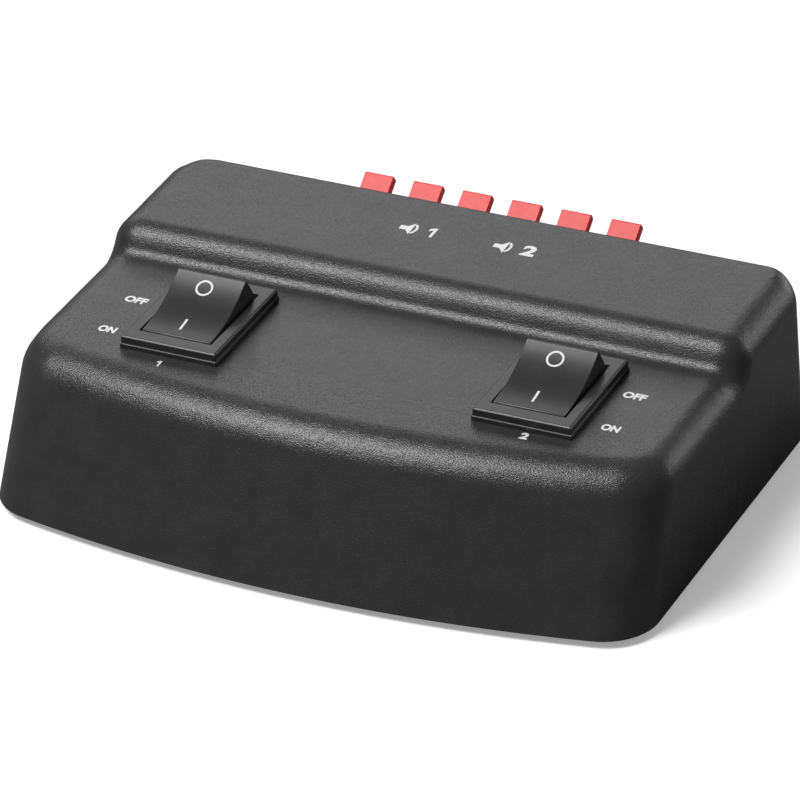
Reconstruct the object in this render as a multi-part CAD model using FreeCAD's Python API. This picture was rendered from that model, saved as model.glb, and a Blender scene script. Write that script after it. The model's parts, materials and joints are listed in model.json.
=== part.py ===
import FreeCAD
import Part
import math
import os
from FreeCAD import Vector

# Two-way speaker selector box, millimetres, +Z up. The origin is on the table, under the object's middle.
os.makedirs("parts", exist_ok=True)

# Case
case_half_width = 51.2
case_front_y = -38.7
case_rear_y = 33.7
case_wall = 2.0
foot_stand = 1.2
deck_height = 22.0
step_height = 4.1
step_start_y = 5.0
step_slope = 60.0
step_foot_r = 2.6
step_top_r = 4.6
raised_deck_rise = 0.7
side_draft = 2.0
rear_draft = 3.0
front_lean = 24.0
front_bow_r = 217.0
front_corner_r = 8.4
rear_corner_r = 5.0
front_rim_r = 6.8
side_rim_r = 4.5
rear_rim_r = 1.6
rear_rim_inner_r = 0.6
loft_height = 40.0
cut_over = 1.0
slot_over = 0.1

# Rocker switches
switch_x = 27.5
switch_y = -8.25
bezel_width = 15.0
bezel_length = 21.0
bezel_top_height = 1.25
bezel_lip_height = 0.7
bezel_lip_proud = 0.15
bezel_chamfer = 0.25
body_width = 12.8
body_length = 19.0
cutout_clearance = 0.1
body_depth = 12.4
body_floor = 2.0
opening_width = 11.4
opening_length = 16.1
snap_proud = 0.5
snap_length = 8.0
snap_height = 3.0
snap_gap = 0.1
rocker_clearance = 0.25
rocker_tilt = 17.5
rocker_pivot_drop = 1.1
rocker_top = 5.3
rocker_half_top = 6.5
rocker_half_skirt = 7.5
rocker_skirt_top = 2.1
rocker_skirt_bottom = -0.5
rocker_face_dip = 0.95
rocker_dish_share = 0.92
rocker_wall = 1.1
rocker_lug_r = 2.2
rocker_edge_r = 0.3
pivot_pin_r = 1.0
pivot_pin_engage = 0.3
running_clearance = 0.05
pole_x = 2.6
tube_r = 1.7
tube_bottom = -3.2
tube_bore_top = 2.6
plunger_r = 1.1
plunger_top = -1.2
plunger_tip = -6.0
spring_slack = 0.05
spring_wire = 0.3
bar_gap = 0.2
bar_thickness = 0.7
bar_width = 3.6
bar_half_length = 4.4
bar_tilt = 8.0
blade_width = 4.0
blade_thickness = 0.8
blade_y = 4.0
blade_gap = 0.13
blade_length = 6.2

# Push terminals
column_pitch = 7.97
housing_gap = 0.3
housing_front_y = 20.0
housing_top_z = 24.4
housing_top_gap = 0.2
wall_pocket_y = 31.15
nose_rear_y = 34.15
nose_bottom_z = 4.9
nose_top_z = 24.4
window_clearance = 0.1
lever_width = 4.7
lever_thickness = 1.5
lever_reach = 8.3
lever_rest_angle = 37.0
lever_tip_r = 0.3
lever_pivot_y = 31.86
upper_pivot_z = 20.99
row_pitch = 10.4
hub_r = 1.3
lever_pin_r = 0.8
lever_pin_half = 3.2
lever_pin_end_gap = 0.1
arm_reach = 4.2
arm_thickness = 1.1
cell_width = 5.1
slot_below_pivot = 1.5
slot_above_pivot = 5.05
chamber_rear_y = 30.4
chamber_above_pivot = 1.6
wire_hole_drop = 3.4
wire_hole_r = 1.5
chamber_below_hole = 2.6
contact_width = 4.6
contact_sheet = 0.6
leaf_sheet = 0.4
leaf_top_above_hole = 0.75
leaf_top_y = 26.0
leaf_foot_y = 29.0
tail_size = 1.0
tail_proud = 1.2

# Board and wires
board_thickness = 1.6
board_half_width = 38.0
board_top_z = 21.0
board_slot_clearance = 0.05
tail_clearance = 0.1
post_width = 3.5
post_grip = 1.5
post_wall = 1.6
post_height = 10.0
wire_r = 0.7
wire_z = 7.0
wire_side_run = 3.4
wire_board_z = 9.5
wire_bend_share = 0.45

# Base
plate_thickness = 1.8
plate_recess = 0.2
plate_clearance = 0.15
boss_x = 42.0
boss_front_y = -20.0
boss_rear_y = 25.5
boss_r = 3.0
pilot_r = 1.25
pilot_depth = 8.0
screw_clearance = 0.05
screw_hole_r = 1.6
screw_head_r = 2.6
screw_head_height = 1.3
screw_length = 8.0
slot_length = 3.12
slot_width = 0.6
slot_depth = 0.5
foot_x = 33.0
foot_front_y = -22.0
foot_rear_y = 26.5
foot_r = 5.0

# Heights and places worked out from the sizes above
case_bottom_z = foot_stand
deck_z = case_bottom_z + deck_height
raised_z = deck_z + step_height
plate_bottom_z = case_bottom_z + plate_recess
plate_top_z = plate_bottom_z + plate_thickness
deck_under_z = deck_z - case_wall
rocker_pivot_z = deck_z - rocker_pivot_drop
body_bottom_z = deck_z - body_depth
cavity_floor_z = body_bottom_z + body_floor
bar_pivot_z = rocker_pivot_z + plunger_tip - bar_gap - bar_thickness
board_front_y = housing_front_y - board_thickness
housing_width = 2 * column_pitch - housing_gap
X_AXIS = Vector(1, 0, 0)
Z_AXIS = Vector(0, 0, 1)


def box(x0, x1, y0, y1, z0, z1):
    """A block between two corners."""
    return Part.makeBox(x1 - x0, y1 - y0, z1 - z0, Vector(x0, y0, z0))


def rod(radius, start, end):
    """A round bar between two points."""
    return Part.makeCylinder(radius, (end - start).Length, start, end - start)


def export(name, pieces):
    """Write one node: a solid, or a group of separate solids."""
    solids = [solid for piece in pieces for solid in piece.Solids]
    shape = solids[0] if len(solids) == 1 else Part.makeCompound(solids)
    shape.exportStep(f"parts/{name}.step")
    print(name, len(solids), "solids", round(sum(solid.Volume for solid in solids), 2), "mm3",
          all(solid.isValid() for solid in solids))


def rounded_wire(corners):
    """A closed outline through (point, radius) corners, with an arc at each corner that has a radius."""
    count = len(corners)
    entries = []
    for index, (point, radius) in enumerate(corners):
        before = (corners[index - 1][0] - point).normalize()
        after = (corners[(index + 1) % count][0] - point).normalize()
        if radius <= 0:
            entries.append((point, None, point))
            continue
        half = before.getAngle(after) / 2
        reach = radius / math.tan(half)
        centre = point + (before + after).normalize() * (radius / math.sin(half))
        middle = centre + (point - centre).normalize() * radius
        entries.append((point + before * reach, middle, point + after * reach))
    edges = []
    for index, (first, middle, last) in enumerate(entries):
        if middle is not None:
            edges.append(Part.Arc(first, middle, last).toShape())
        following = entries[(index + 1) % count][0]
        if (following - last).Length > 1e-6:
            edges.append(Part.makeLine(last, following))
    return Part.Wire(edges)


def prism_x(corners, x0, x1):
    """A (y, z, radius) outline drawn out along X."""
    wire = rounded_wire([(Vector(x0, y, z), radius) for y, z, radius in corners])
    return Part.Face(wire).extrude(Vector(x1 - x0, 0, 0))


def plan_outline(z, inset):
    """The case's outline seen from above at one height, moved in by inset."""
    rise = z - case_bottom_z
    half = case_half_width - rise * math.tan(math.radians(side_draft)) - inset
    front_in = rise * math.tan(math.radians(front_lean)) + inset / math.cos(math.radians(front_lean))
    bow = front_bow_r - front_in
    bow_centre = case_front_y + front_bow_r
    rear = case_rear_y - rise * math.tan(math.radians(rear_draft)) - inset
    front_r = front_corner_r - inset / 2
    rear_r = rear_corner_r - inset / 2
    corner = Vector(half - front_r, bow_centre - math.sqrt((bow - front_r) ** 2 - (half - front_r) ** 2), z)
    centre = Vector(0, bow_centre, z)
    outward = (corner - centre).normalize()
    meet = centre + outward * bow
    turn = (outward + X_AXIS).normalize()

    def mirror(point):
        return Vector(-point.x, point.y, point.z)

    def rear_arc(sign):
        middle = Vector(half - rear_r, rear - rear_r, z) + Vector(1, 1, 0).normalize() * rear_r
        points = [Vector(half, rear - rear_r, z), middle, Vector(half - rear_r, rear, z)]
        return points if sign > 0 else [mirror(point) for point in reversed(points)]

    right_front = [meet, corner + turn * front_r, Vector(half, corner.y, z)]
    left_front = [mirror(point) for point in reversed(right_front)]
    right_rear = rear_arc(1)
    left_rear = rear_arc(-1)
    return Part.Wire([
        Part.Arc(mirror(meet), Vector(0, bow_centre - bow, z), meet).toShape(),
        Part.Arc(*right_front).toShape(),
        Part.makeLine(right_front[-1], right_rear[0]),
        Part.Arc(*right_rear).toShape(),
        Part.makeLine(right_rear[-1], left_rear[0]),
        Part.Arc(*left_rear).toShape(),
        Part.makeLine(left_rear[-1], left_front[0]),
        Part.Arc(*left_front).toShape(),
    ])


def top_profile(inset):
    """The decks and the step between them, as a prism along X that reaches past the case."""
    slope = math.radians(step_slope)
    rise = math.radians(raised_deck_rise)
    foot_y = step_start_y + step_foot_r * math.tan(slope / 2)
    shift_y = inset * (1 - math.cos(slope)) / math.sin(slope)
    low_z = deck_z - inset
    top_y = foot_y + shift_y + step_height / math.tan(slope)
    far_y = case_rear_y + case_wall * 2
    reach = case_half_width + case_wall
    return prism_x([
        (case_front_y - case_wall, case_bottom_z - case_wall, 0),
        (case_front_y - case_wall, low_z, 0),
        (foot_y + shift_y, low_z, step_foot_r + inset),
        (top_y, low_z + step_height, step_top_r - inset),
        (far_y, low_z + step_height + (far_y - top_y) * math.tan(rise), 0),
        (far_y, case_bottom_z - case_wall, 0),
    ], -reach, reach)


def rim_radii(edge, inset):
    """The two end radii of the rounding along one edge of the case's top rim."""
    side_r = side_rim_r - inset
    front_r = front_rim_r - inset
    rear_r = rear_rim_inner_r if inset > 0 else rear_rim_r
    first, last = edge.valueAt(edge.FirstParameter), edge.valueAt(edge.LastParameter)
    middle = edge.valueAt((edge.FirstParameter + edge.LastParameter) / 2)
    end_r = front_r if middle.y < switch_y else rear_r
    if abs(middle.x) < case_half_width / 2:
        return [end_r, end_r]
    outermost = max(abs(first.x), abs(last.x))
    corner = abs(abs(first.x) - abs(last.x)) > side_rim_r / 2
    return [end_r if corner and abs(end.x) < outermost else side_r for end in (first, last)]


def case_solid(inset):
    """The solid form of the case, moved in by inset all round, with its rounded rim."""
    bottom = plan_outline(case_bottom_z, inset)
    top = plan_outline(case_bottom_z + loft_height, inset)
    sides = Part.makeLoft([bottom, top], True, True)
    profile = top_profile(inset)
    body = sides.common(profile).Solids[0].removeSplitter()
    side_faces = Part.makeCompound([face for face in sides.Faces if abs(face.normalAt(0, 0).z) < 0.9])
    deck_faces = Part.makeCompound([face for face in profile.Faces if face.normalAt(0, 0).z > 0.2])
    picked = []
    for index, edge in enumerate(body.Edges):
        middle = Part.Vertex(edge.valueAt((edge.FirstParameter + edge.LastParameter) / 2))
        near = max(middle.distToShape(side_faces)[0], middle.distToShape(deck_faces)[0])
        if near < 1e-3:
            picked.append((index + 1, *rim_radii(edge, inset)))
    document = FreeCAD.newDocument()
    feature = document.addObject("Part::Feature", "Body")
    feature.Shape = body
    fillet = document.addObject("Part::Fillet", "Rim")
    fillet.Base = feature
    fillet.Edges = picked
    document.recompute()
    result = fillet.Shape.copy()
    FreeCAD.closeDocument(document.Name)
    print("case form", inset, len(picked), "rim edges", result.isValid(), len(result.Solids))
    return result


def window_box(clearance):
    """The opening in the rear wall that the three terminal noses fill."""
    half = 1.5 * 2 * column_pitch - housing_gap / 2 + clearance
    return box(-half, half, wall_pocket_y - case_wall, case_rear_y + case_wall,
               nose_bottom_z - clearance, nose_top_z + clearance)


def boss_places():
    """Centres of the four screw bosses."""
    return [(side * boss_x, y) for side in (-1, 1) for y in (boss_front_y, boss_rear_y)]


def upper_shell():
    """The moulded cover: both decks, walls, switch cut-outs, terminal window and screw bosses."""
    outer = case_solid(0)
    inner = case_solid(case_wall)
    shell = outer.cut(inner)
    pocket_half = 1.5 * 2 * column_pitch
    shell = shell.cut(box(-pocket_half, pocket_half, housing_front_y, wall_pocket_y, case_bottom_z - cut_over,
                          housing_top_z + housing_top_gap))
    shell = shell.cut(window_box(window_clearance))
    for x, y in boss_places():
        column = rod(boss_r, Vector(x, y, plate_top_z), Vector(x, y, raised_z)).common(outer)
        shell = shell.fuse(column)
    for x, y in boss_places():
        shell = shell.cut(rod(pilot_r, Vector(x, y, plate_top_z), Vector(x, y, plate_top_z + pilot_depth)))
    for side in (-1, 1):
        half_x = body_width / 2 + cutout_clearance
        half_y = body_length / 2 + cutout_clearance
        shell = shell.cut(box(side * switch_x - half_x, side * switch_x + half_x, switch_y - half_y,
                              switch_y + half_y, body_bottom_z, deck_z + cut_over))
    return shell.removeSplitter()


def base_plate():
    """The flat cover underneath, with the posts that hold the board's ends and the rib in front of it."""
    inset = case_wall + plate_clearance
    plate = Part.makeLoft([plan_outline(plate_bottom_z, inset), plan_outline(plate_top_z, inset)], True, True)
    for side in (-1, 1):
        inner_x = side * (board_half_width - post_grip)
        outer_x = side * (board_half_width - post_grip + post_width)
        post = box(min(inner_x, outer_x), max(inner_x, outer_x), board_front_y - post_wall,
                   housing_front_y + post_wall, plate_top_z, plate_top_z + post_height)
        plate = plate.fuse(post)
    slot_half = board_half_width + board_slot_clearance
    slot_top = plate_top_z + post_height + cut_over
    plate = plate.cut(box(-slot_half, slot_half, board_front_y - board_slot_clearance,
                          housing_front_y + board_slot_clearance, plate_top_z, slot_top))
    for x, y in boss_places():
        foot = Vector(x, y, plate_bottom_z)
        hole_length = plate_thickness + 2 * cut_over
        plate = plate.cut(Part.makeCylinder(screw_hole_r, hole_length, foot - Z_AXIS * cut_over, Z_AXIS))
        head_room_r = screw_head_r + screw_clearance
        plate = plate.cut(Part.makeCone(head_room_r, screw_hole_r, screw_head_height, foot, Z_AXIS))
    return plate.removeSplitter()


def base_screw(x, y):
    """A countersunk self-tapping screw, its head flush with the plate's underside."""
    shank_r = pilot_r - screw_clearance
    head_top_r = shank_r
    head = Part.makeCone(screw_head_r, head_top_r, screw_head_height, Vector(x, y, plate_bottom_z), Z_AXIS)
    shank = rod(shank_r, Vector(x, y, plate_bottom_z), Vector(x, y, plate_bottom_z + screw_length))
    screw = head.fuse(shank)
    for length, width in ((slot_length, slot_width), (slot_width, slot_length)):
        screw = screw.cut(box(x - length / 2, x + length / 2, y - width / 2, y + width / 2,
                              plate_bottom_z, plate_bottom_z + slot_depth))
    return screw


def rubber_foot(x, y):
    """A stick-on foot with a rounded lower edge."""
    foot = rod(foot_r, Vector(x, y, 0), Vector(x, y, plate_bottom_z))
    lower = [edge for edge in foot.Edges if edge.BoundBox.ZMax < 1e-6]
    return foot.makeFillet(plate_bottom_z / 3, lower)


def switch_body(x):
    """Bezel, housing and snap wings of one rocker switch, with the rocker's opening and the blade slots."""
    y = switch_y

    def block(width, length, z0, z1):
        return box(x - width / 2, x + width / 2, y - length / 2, y + length / 2, z0, z1)

    lip_top_z = deck_z + bezel_lip_height
    bezel_z = lip_top_z + bezel_top_height
    lip = block(bezel_width + 2 * bezel_lip_proud, bezel_length + 2 * bezel_lip_proud, deck_z, lip_top_z)
    top = block(bezel_width, bezel_length, lip_top_z, bezel_z)
    top_edges = [edge for edge in top.Edges if edge.BoundBox.ZMin > bezel_z - 1e-6]
    body = lip.fuse(top.makeChamfer(bezel_chamfer, top_edges))
    body = body.fuse(block(body_width, body_length, body_bottom_z, deck_z))
    snap_top = deck_under_z - snap_gap
    for side in (-1, 1):
        face = x + side * body_width / 2
        root = Vector(face, y - snap_length / 2, snap_top)
        corners = [root, root + X_AXIS * side * snap_proud, root - Z_AXIS * snap_height, root]
        body = body.fuse(Part.Face(Part.makePolygon(corners)).extrude(Vector(0, snap_length, 0)))
    body = body.cut(block(opening_width, opening_length, cavity_floor_z, bezel_z + cut_over))
    bore_r = pivot_pin_r + running_clearance
    pin_half = rocker_half_width() + rocker_clearance + pivot_pin_engage + running_clearance
    pivot = Vector(x, y, rocker_pivot_z)
    body = body.cut(rod(bore_r, pivot - X_AXIS * pin_half, pivot + X_AXIS * pin_half))
    for pole in (-pole_x, pole_x):
        stop_z = blade_top_z()
        stop = box(x + pole - bar_width / 2, x + pole + bar_width / 2, y - blade_y - blade_thickness / 2,
                   y - blade_y + blade_thickness / 2, cavity_floor_z, stop_z)
        body = body.fuse(stop)
        for blade in (0, blade_y):
            body = body.cut(blade_block(x + pole, y + blade, body_bottom_z - cut_over,
                                        cavity_floor_z + cut_over))
    return body.removeSplitter()


def rocker_half_width():
    """Half the rocker's width inside its opening."""
    return opening_width / 2 - rocker_clearance


def blade_top_z():
    """Height of the fixed contact that the bar's low end meets."""
    end = blade_y + blade_thickness / 2
    return bar_pivot_z - end * math.tan(math.radians(bar_tilt)) - blade_gap


def blade_block(x, y, z0, z1):
    """One flat blade, or the slot it passes through."""
    half_x, half_y = blade_width / 2, blade_thickness / 2
    return box(x - half_x, x + half_x, y - half_y, y + half_y, z0, z1)


def tilt(shape, x, degrees):
    """Turn a rocker piece about its pivot: positive lifts the rear."""
    turned = shape.copy()
    turned.rotate(Vector(x, switch_y, rocker_pivot_z), X_AXIS, degrees)
    return turned


def rocker(x):
    """The dished rocker cap with its lugs, pivot pins and plunger tubes, front pressed."""
    y, z = switch_y, rocker_pivot_z
    half = rocker_half_width()
    side = [(rocker_half_skirt, rocker_skirt_bottom), (rocker_half_skirt, rocker_skirt_top),
            (rocker_half_top, rocker_top)]
    outline = [(v, h) for v, h in side] + [(0, rocker_top - 2 * rocker_face_dip)]
    outline += [(-v, h) for v, h in reversed(side)]
    half_face = math.hypot(rocker_half_top, 2 * rocker_face_dip)
    dish_r = rocker_dish_share * half_face * rocker_half_top / (2 * rocker_face_dip)
    edge_radii = {2: rocker_edge_r, 3: dish_r, 4: rocker_edge_r}
    corners = [(y + v, z + h, edge_radii.get(i, 0)) for i, (v, h) in enumerate(outline)]
    cap = prism_x(corners, x - half, x + half)
    hollow_top = rocker_top - rocker_face_dip - rocker_wall
    inner_skirt = rocker_half_skirt - rocker_wall
    inner_top = rocker_half_top - rocker_wall
    inner = [(inner_skirt, rocker_skirt_bottom - cut_over), (inner_skirt, rocker_skirt_top),
             (inner_top, hollow_top)]
    inner += [(-v, h) for v, h in reversed(inner)]
    hollow = prism_x([(y + v, z + h, 0) for v, h in inner], x - half + rocker_wall, x + half - rocker_wall)
    cap = cap.cut(hollow)
    pivot = Vector(x, y, z)
    for direction in (-1, 1):
        inside = pivot + X_AXIS * direction * (half - rocker_wall)
        outside = pivot + X_AXIS * direction * half
        end = outside + X_AXIS * direction * (rocker_clearance + pivot_pin_engage)
        cap = cap.fuse(rod(rocker_lug_r, inside, outside)).fuse(rod(pivot_pin_r, inside, end))
    bore_r = plunger_r + running_clearance
    for pole in (-pole_x, pole_x):
        centre = Vector(x + pole, y, z)
        tube_top = hollow_top + rocker_wall / 2
        mouth = tube_bottom - cut_over
        cap = cap.fuse(rod(tube_r, centre + Z_AXIS * tube_bottom, centre + Z_AXIS * tube_top))
        cap = cap.cut(rod(bore_r, centre + Z_AXIS * mouth, centre + Z_AXIS * tube_bore_top))
    return tilt(cap.removeSplitter(), x, rocker_tilt)


def plunger(x, pole):
    """The round-nosed pin that the spring presses onto the contact bar."""
    centre = Vector(x + pole, switch_y, rocker_pivot_z)
    nose = centre + Z_AXIS * (plunger_tip + plunger_r)
    pin = rod(plunger_r, nose, centre + Z_AXIS * plunger_top).fuse(Part.makeSphere(plunger_r, nose))
    return tilt(pin.removeSplitter(), x, rocker_tilt)


def plunger_spring(x, pole):
    """The plunger's spring, as a sleeve of its outer and inner size."""
    centre = Vector(x + pole, switch_y, rocker_pivot_z)
    low, high = centre + Z_AXIS * plunger_top, centre + Z_AXIS * tube_bore_top
    outer_r = plunger_r - spring_slack
    sleeve = rod(outer_r, low, high).cut(rod(outer_r - spring_wire, low, high))
    return tilt(sleeve, x, rocker_tilt)


def contact_bar(x, pole):
    """The rocking bar that joins the two blades, rear end down."""
    bar = box(x + pole - bar_width / 2, x + pole + bar_width / 2, switch_y - bar_half_length,
              switch_y + bar_half_length, bar_pivot_z, bar_pivot_z + bar_thickness)
    bar.rotate(Vector(x, switch_y, bar_pivot_z), X_AXIS, -bar_tilt)
    return bar


def blades(x, pole):
    """The common blade under the bar's middle and the switched blade under its rear end."""
    bottom = body_bottom_z - blade_length
    common = blade_block(x + pole, switch_y, bottom, bar_pivot_z - blade_gap)
    switched = blade_block(x + pole, switch_y + blade_y, bottom, blade_top_z())
    return [common, switched]


def row_pivots():
    """Heights of the upper and lower lever pivots."""
    return [upper_pivot_z, upper_pivot_z - row_pitch]


def column_x(index):
    """Centre of one of the six terminal columns."""
    return (index - 2.5) * column_pitch


def terminal_housing(group):
    """A two by two block of push terminals, its nose standing out of the rear window."""
    x = (group - 1) * 2 * column_pitch
    half = housing_width / 2
    block = box(x - half, x + half, housing_front_y, wall_pocket_y, plate_top_z, housing_top_z)
    nose_z0, nose_z1 = nose_bottom_z, nose_top_z
    block = block.fuse(box(x - half, x + half, wall_pocket_y, nose_rear_y, nose_z0, nose_z1))
    for column in (2 * group, 2 * group + 1):
        cx = column_x(column)
        x0, x1 = cx - cell_width / 2, cx + cell_width / 2
        for pivot_z in row_pivots():
            hole_z = pivot_z - wire_hole_drop
            block = block.cut(box(x0, x1, housing_front_y - cut_over, chamber_rear_y,
                                  hole_z - chamber_below_hole, pivot_z + chamber_above_pivot))
            block = block.cut(box(x0, x1, chamber_rear_y - slot_over, nose_rear_y + cut_over,
                                  pivot_z - slot_below_pivot, pivot_z + slot_above_pivot))
            block = block.cut(rod(wire_hole_r, Vector(cx, chamber_rear_y - cut_over, hole_z),
                                  Vector(cx, nose_rear_y + cut_over, hole_z)))
            pivot = Vector(cx, lever_pivot_y, pivot_z)
            pin_end = X_AXIS * (lever_pin_half + lever_pin_end_gap)
            block = block.cut(rod(lever_pin_r + running_clearance, pivot - pin_end, pivot + pin_end))
    return block.removeSplitter()


def lever(column, pivot_z):
    """A clamp lever: tab, hub, inner arm and pivot pins, at rest."""
    cx = column_x(column)
    pivot = Vector(cx, lever_pivot_y, pivot_z)
    half = lever_width / 2
    thick = lever_thickness / 2
    tip_y = lever_pivot_y + lever_reach
    tab = prism_x([(lever_pivot_y, pivot_z - thick, 0), (tip_y, pivot_z - thick, lever_tip_r),
                   (tip_y, pivot_z + thick, lever_tip_r), (lever_pivot_y, pivot_z + thick, 0)],
                  cx - half, cx + half)
    tab.rotate(pivot, X_AXIS, lever_rest_angle)
    arm = box(cx - half, cx + half, lever_pivot_y - arm_reach, lever_pivot_y, pivot_z - arm_thickness / 2,
              pivot_z + arm_thickness / 2)
    piece = tab.fuse(arm)
    piece = piece.fuse(rod(hub_r, pivot - X_AXIS * half, pivot + X_AXIS * half))
    piece = piece.fuse(rod(lever_pin_r, pivot - X_AXIS * lever_pin_half, pivot + X_AXIS * lever_pin_half))
    return piece.removeSplitter()


def clamp_contact(column, pivot_z):
    """The bent strip of one clamp: floor, upright, sprung leaf and the tail that goes through the board."""
    cx = column_x(column)
    x0, x1 = cx - contact_width / 2, cx + contact_width / 2
    hole_z = pivot_z - wire_hole_drop
    floor_z = hole_z - chamber_below_hole
    top_z = hole_z + leaf_top_above_hole
    floor = box(x0, x1, housing_front_y, leaf_foot_y + leaf_sheet, floor_z, floor_z + contact_sheet)
    upright = box(x0, x1, housing_front_y, housing_front_y + contact_sheet, floor_z, top_z)
    foot, tip = Vector(x0, leaf_foot_y, floor_z), Vector(x0, leaf_top_y, top_z)
    sheet = Vector(0, leaf_sheet, 0)
    leaf = Part.Face(Part.makePolygon([foot, foot + sheet, tip + sheet, tip, foot]))
    strip = floor.fuse(upright).fuse(leaf.extrude(Vector(contact_width, 0, 0)))
    tail = box(cx - tail_size / 2, cx + tail_size / 2, board_front_y - tail_proud, housing_front_y,
               hole_z - tail_size / 2, hole_z + tail_size / 2)
    return strip.fuse(tail).removeSplitter()


def circuit_board():
    """The upright board that the terminal tails pass through."""
    board = box(-board_half_width, board_half_width, board_front_y, housing_front_y, plate_top_z, board_top_z)
    size = tail_size / 2 + tail_clearance
    for column in range(6):
        for pivot_z in row_pivots():
            cx, hole_z = column_x(column), pivot_z - wire_hole_drop
            board = board.cut(box(cx - size, cx + size, board_front_y - cut_over, housing_front_y + cut_over,
                                  hole_z - size, hole_z + size))
    return board


def wire_tube(points):
    """An insulated wire along straight runs joined by tangent arcs."""
    runs = [(b - a).Length for a, b in zip(points, points[1:])]
    edges, start = [], points[0]
    for index in range(1, len(points) - 1):
        into = (points[index] - points[index - 1]).normalize()
        out = (points[index + 1] - points[index]).normalize()
        reach = wire_bend_share * min(runs[index - 1], runs[index])
        first, last = points[index] - into * reach, points[index] + out * reach
        radius = reach / math.tan(into.getAngle(out) / 2)
        centre = first + (out - into * into.dot(out)).normalize() * radius
        middle = centre + (points[index] - centre).normalize() * radius
        edges += [Part.makeLine(start, first), Part.Arc(first, middle, last).toShape()]
        start = last
    edges.append(Part.makeLine(start, points[-1]))
    path = Part.Wire(edges)
    circle = Part.Wire([Part.makeCircle(wire_r, points[0], (points[1] - points[0]).normalize())])
    return path.makePipeShell([circle], True, True)


def switch_wires(x):
    """Four wires from one switch's blades to the board."""
    wires = []
    for pole in (-pole_x, pole_x):
        side = math.copysign(1, pole)
        edge_x = x + pole + side * blade_width / 2
        away_x = edge_x + side * wire_side_run
        turn_y = switch_y + wire_side_run
        wires.append(wire_tube([
            Vector(edge_x, switch_y, wire_z), Vector(away_x, switch_y, wire_z),
            Vector(away_x, turn_y + wire_side_run, wire_z),
            Vector(away_x, board_front_y - wire_side_run, wire_board_z),
            Vector(away_x, board_front_y, wire_board_z)]))
        rear_y = switch_y + blade_y + blade_thickness / 2
        middle_y = (rear_y + board_front_y) / 2
        wires.append(wire_tube([
            Vector(x + pole, rear_y, wire_z), Vector(x + pole, rear_y + wire_side_run, wire_z),
            Vector(x + pole, middle_y + wire_side_run, wire_board_z),
            Vector(x + pole, board_front_y, wire_board_z)]))
    return wires


export("upper_shell", [upper_shell()])
export("base_plate", [base_plate()])
export("base_screws", [base_screw(x, y) for x, y in boss_places()])
foot_rows = (foot_front_y, foot_rear_y)
export("rubber_feet", [rubber_foot(side * foot_x, y) for side in (-1, 1) for y in foot_rows])
for side_name, side_x in (("left", -switch_x), ("right", switch_x)):
    poles = (-pole_x, pole_x)
    export(f"{side_name}_switch_body", [switch_body(side_x)])
    export(f"{side_name}_rocker", [rocker(side_x)])
    export(f"{side_name}_plungers", [plunger(side_x, pole) for pole in poles])
    export(f"{side_name}_plunger_springs", [plunger_spring(side_x, pole) for pole in poles])
    export(f"{side_name}_contact_bars", [contact_bar(side_x, pole) for pole in poles])
    export(f"{side_name}_blades", [blade for pole in poles for blade in blades(side_x, pole)])
    export(f"{side_name}_switch_wires", switch_wires(side_x))
for group_index, group_name in enumerate(("speaker_1", "amplifier", "speaker_2")):
    columns = (2 * group_index, 2 * group_index + 1)
    export(f"{group_name}_terminal_housing", [terminal_housing(group_index)])
    export(f"{group_name}_clamp_contacts",
           [clamp_contact(column, pivot_z) for column in columns for pivot_z in row_pivots()])
for column_index in range(6):
    export(f"red_lever_{column_index + 1}", [lever(column_index, row_pivots()[0])])
    export(f"black_lever_{column_index + 1}", [lever(column_index, row_pivots()[1])])
export("circuit_board", [circuit_board()])
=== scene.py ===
"""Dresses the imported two-way speaker selector.

It has a grained case, rocker switches, clamp levers and printed marks.
"""

import json
import logging
import math
from dataclasses import dataclass, field
from enum import Enum

import bmesh
import bpy
from mathutils import Matrix, Vector


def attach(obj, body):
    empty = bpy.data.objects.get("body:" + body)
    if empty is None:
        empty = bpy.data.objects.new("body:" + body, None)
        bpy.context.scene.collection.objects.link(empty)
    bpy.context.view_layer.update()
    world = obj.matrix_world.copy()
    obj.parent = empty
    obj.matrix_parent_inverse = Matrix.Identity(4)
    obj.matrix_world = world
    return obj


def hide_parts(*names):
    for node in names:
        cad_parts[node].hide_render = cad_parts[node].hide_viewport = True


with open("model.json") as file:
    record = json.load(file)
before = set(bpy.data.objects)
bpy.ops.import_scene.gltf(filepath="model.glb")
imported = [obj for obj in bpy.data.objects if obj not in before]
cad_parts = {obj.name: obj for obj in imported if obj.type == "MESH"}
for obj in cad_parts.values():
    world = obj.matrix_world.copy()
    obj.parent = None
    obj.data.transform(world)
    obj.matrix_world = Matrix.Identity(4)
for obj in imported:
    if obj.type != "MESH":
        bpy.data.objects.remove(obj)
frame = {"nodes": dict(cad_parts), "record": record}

logging.basicConfig(level=logging.INFO, format="%(message)s")
log = logging.getLogger("speaker_selector")

MM = 0.001
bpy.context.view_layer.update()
SWITCH_X = 27.5 * MM
JOIN_DISTANCE = 0.0005 * MM
Colour = tuple[float, float, float]
Axes = tuple[float, float, float]


class Slot(Enum):
    """The record's material slots that the pieces take their finish from."""

    CASE = "case_black"
    SWITCH = "switch_black"
    RED = "lever_red"
    BLACK = "lever_black"
    TERMINAL = "terminal_black"
    RUBBER = "rubber_black"
    STEEL = "steel_screw"
    BRASS = "contact_brass"
    BOARD = "board_green"
    WIRE = "wire_red"
    PRINT = "print_white"


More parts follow.
